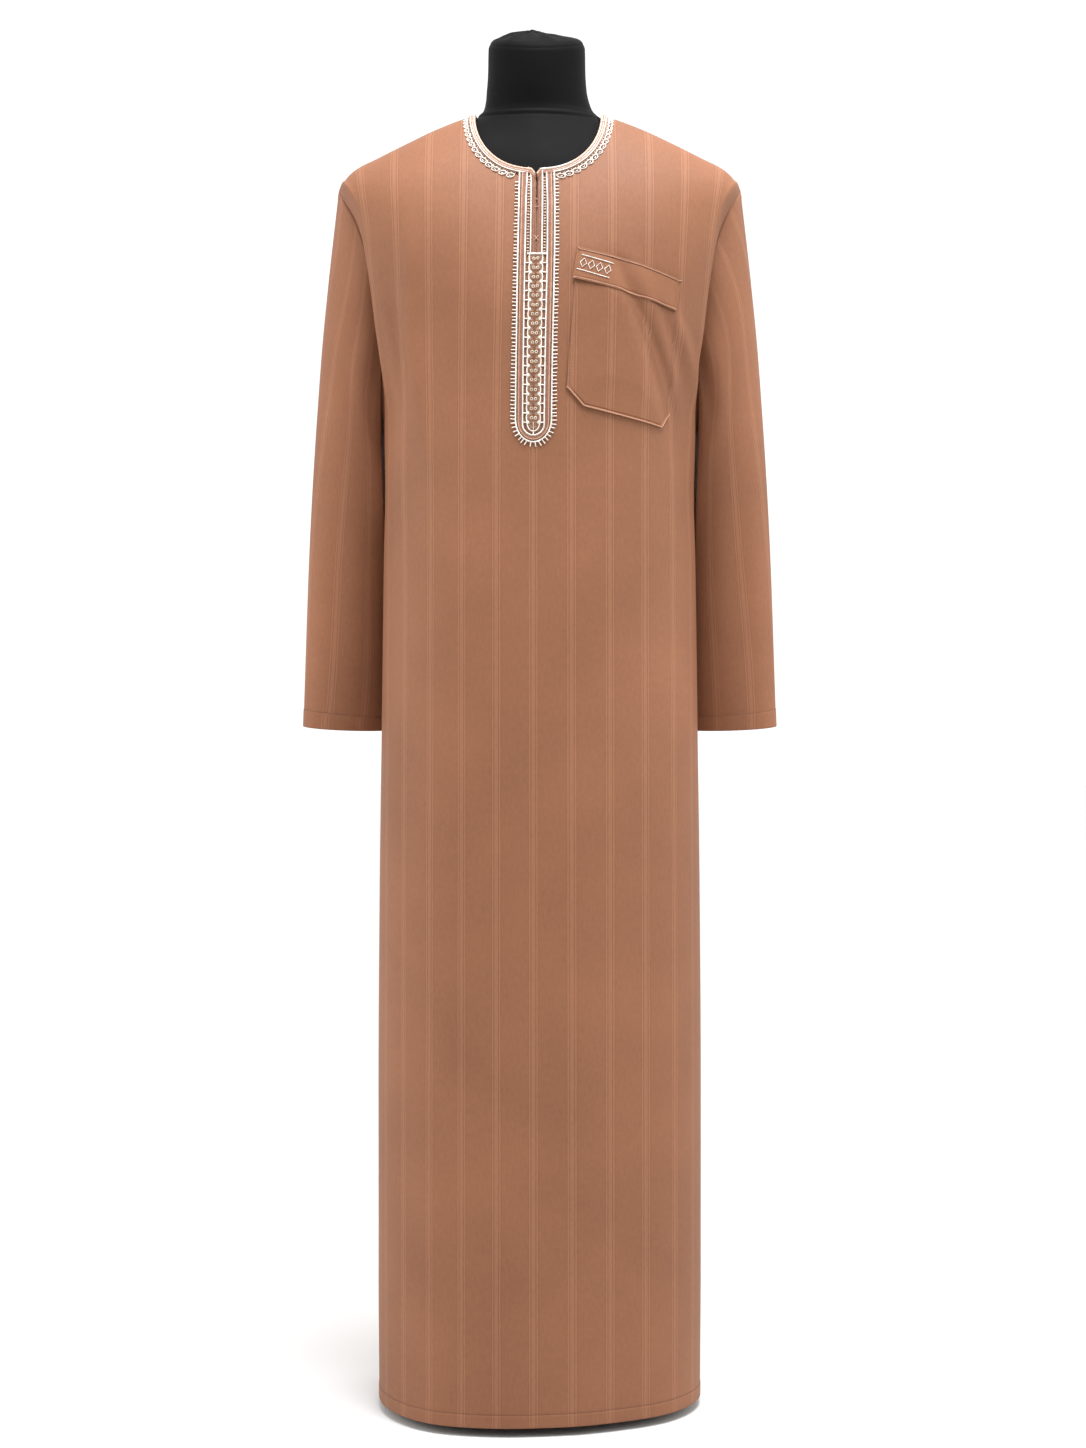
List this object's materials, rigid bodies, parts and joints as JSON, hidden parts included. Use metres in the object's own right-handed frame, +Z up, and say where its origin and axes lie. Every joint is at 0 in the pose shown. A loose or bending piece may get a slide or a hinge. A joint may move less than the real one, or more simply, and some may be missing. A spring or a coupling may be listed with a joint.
{
  "type": "men's ankle-length collarless robe on a limbless dress form",
  "caption": "Long collarless robe with straight sleeves, a chest pocket and a braided neck and placket, hung on a black limbless dress form with a pole and a round base.",
  "frame": {"origin": "on the floor, at the centre of the base plate's underside", "axes": "+Z up, the front faces -Y, +X is the wearer's left"},
  "size_m": [0.5466, 0.3098, 1.5662],
  "materials": {
    "robe_cloth": "light caramel twill with tone-on-tone woven stripes",
    "brown_braid": "brown satin braid edged with white cord",
    "white_thread": "white embroidery thread",
    "black_jersey": "black stretch jersey over foam",
    "painted_steel": "satin black paint"
  },
  "bodies": {
    "root": {"front": "robe_cloth", "back": "robe_cloth", "sleeve_left": "robe_cloth", "sleeve_right": "robe_cloth", "pocket": "robe_cloth", "pocket_band": "robe_cloth", "neck_braid": "brown_braid", "placket_braid": "brown_braid", "rosette_panel": "white_thread", "form_body": "black_jersey", "form_cap": "black_jersey", "form_pole": "painted_steel", "form_base": "painted_steel"}
  },
  "joints": []
}
